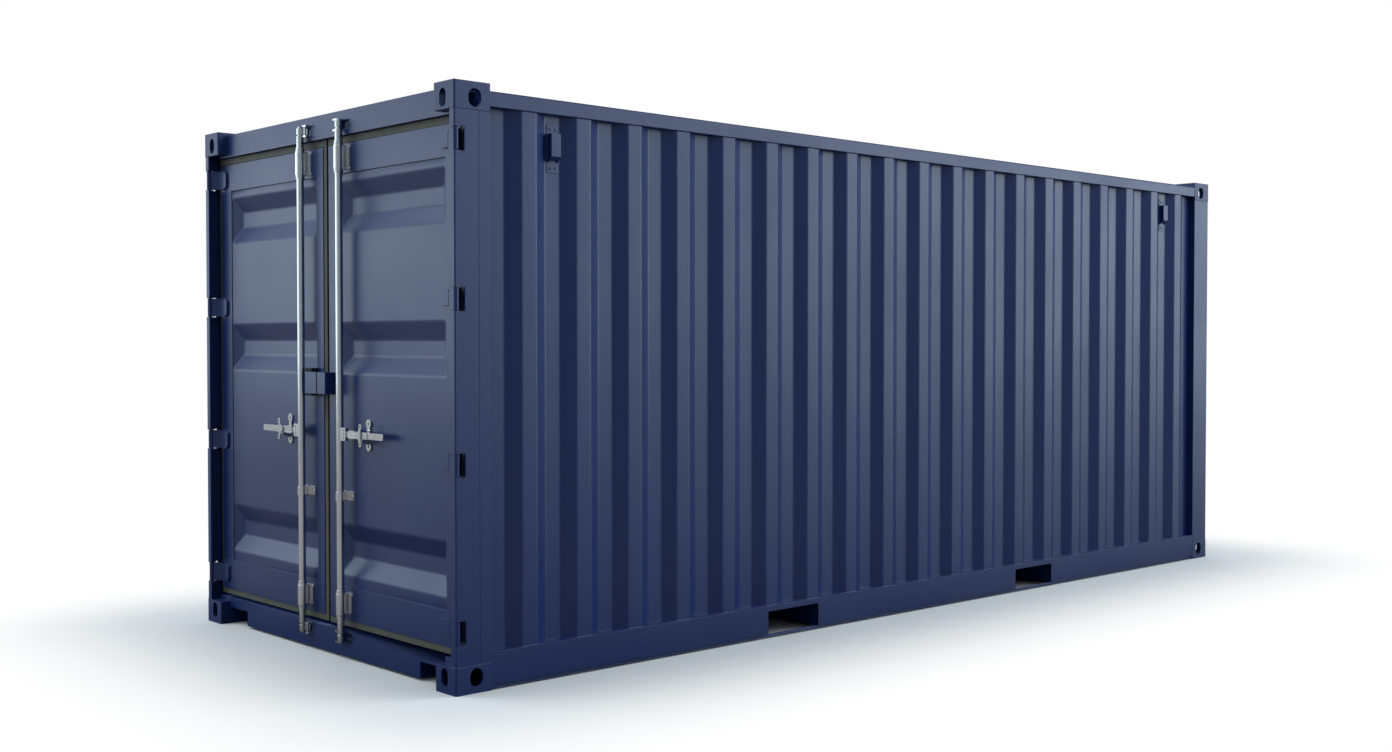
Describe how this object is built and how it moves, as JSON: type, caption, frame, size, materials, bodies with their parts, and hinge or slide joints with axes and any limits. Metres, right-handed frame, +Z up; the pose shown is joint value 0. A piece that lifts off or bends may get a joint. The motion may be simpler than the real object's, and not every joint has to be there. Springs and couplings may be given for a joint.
{
  "type": "dry freight shipping container with end doors",
  "caption": "Steel shipping container with corrugated walls, paired end doors, lock rods, corner castings, fork pockets and a plywood floor.",
  "frame": {"origin": "middle of the container's footprint, on the plane that its bottom corner castings stand on", "axes": "+X along the length towards the blind end, the doors at -X; +Y across, to the left of someone facing the doors; +Z up"},
  "size_m": [6.058, 2.438, 2.591],
  "materials": {
    "painted_steel": "semi-gloss dark blue marine paint on weathering steel",
    "painted_casting": "same paint on cast steel",
    "floor_plywood": "sealed hardwood plywood",
    "door_gasket_rubber": "extruded EPDM rubber, dull",
    "zinc_lock_gear": "hot-dip galvanised steel",
    "bright_zinc_handle": "bright zinc-plated steel"
  },
  "bodies": {
    "root": {"top_corner_castings": "painted_casting", "bottom_corner_castings": "painted_casting", "right_door_bottom_casting": "painted_casting", "front_corner_posts": "painted_steel", "inner_door_posts": "painted_steel", "door_header": "painted_steel", "door_sill": "painted_steel", "front_top_rail": "painted_steel", "front_bottom_rail": "painted_steel", "fork_pockets": "painted_steel", "cross_members": "painted_steel", "floor_boards": "floor_plywood", "front_wall": "painted_steel", "roof": "painted_steel", "side_vents": "painted_steel", "cam_keepers": "zinc_lock_gear", "hinge_pins": "painted_steel", "right_door_post_bar": "painted_steel", "right_top_rail": "painted_steel", "right_bottom_rail": "painted_steel", "right_side_wall": "painted_steel", "left_door_post_bar": "painted_steel", "left_top_rail": "painted_steel", "left_bottom_rail": "painted_steel", "left_side_wall": "painted_steel"},
    "right_door": {"right_door_frame": "painted_steel", "right_door_panel": "painted_steel", "right_door_gasket": "door_gasket_rubber", "right_hinge_blades": "painted_steel", "right_rod_brackets": "zinc_lock_gear", "right_handle_retainer": "bright_zinc_handle", "right_lock_box": "painted_steel"},
    "right_lock_rod": {"right_lock_rod": "zinc_lock_gear"},
    "right_handle": {"right_handle": "bright_zinc_handle"},
    "right_catch": {"right_seal_catch": "bright_zinc_handle"},
    "left_door": {"left_door_frame": "painted_steel", "left_door_panel": "painted_steel", "left_door_gasket": "door_gasket_rubber", "left_hinge_blades": "painted_steel", "left_rod_brackets": "zinc_lock_gear", "left_handle_retainer": "bright_zinc_handle", "left_lock_box": "painted_steel"},
    "left_lock_rod": {"left_lock_rod": "zinc_lock_gear"},
    "left_handle": {"left_handle": "bright_zinc_handle"},
    "left_catch": {"left_seal_catch": "bright_zinc_handle"}
  },
  "joints": [
    {"name": "right_door_swing", "type": "hinge", "parent": "root", "child": "right_door", "pos_m": [-3.012, -1.202, 1.3], "axis": [0, 0, 1], "range_deg": [0, 267]},
    {"name": "right_rod_turn", "type": "hinge", "parent": "right_door", "child": "right_lock_rod", "pos_m": [-3.005, -0.19, 1.3], "axis": [0, 0, 1], "range_deg": [-100, 0]},
    {"name": "right_handle_lift", "type": "hinge", "parent": "right_lock_rod", "child": "right_handle", "pos_m": [-3.0045, -0.295, 1.062], "axis": [-1, 0, 0], "range_deg": [0, 35]},
    {"name": "right_catch_turn", "type": "hinge", "parent": "right_handle", "child": "right_catch", "pos_m": [-3.0045, -0.386, 1.062], "axis": [-1, 0, 0], "range_deg": [0, 90]},
    {"name": "left_door_swing", "type": "hinge", "parent": "root", "child": "left_door", "pos_m": [-3.012, 1.202, 1.3], "axis": [0, 0, -1], "range_deg": [0, 267]},
    {"name": "left_rod_turn", "type": "hinge", "parent": "left_door", "child": "left_lock_rod", "pos_m": [-3.005, 0.19, 1.3], "axis": [0, 0, -1], "range_deg": [-100, 0]},
    {"name": "left_handle_lift", "type": "hinge", "parent": "left_lock_rod", "child": "left_handle", "pos_m": [-3.0045, 0.295, 1.062], "axis": [1, 0, 0], "range_deg": [0, 35]},
    {"name": "left_catch_turn", "type": "hinge", "parent": "left_handle", "child": "left_catch", "pos_m": [-3.0045, 0.386, 1.062], "axis": [1, 0, 0], "range_deg": [0, 90]}
  ]
}
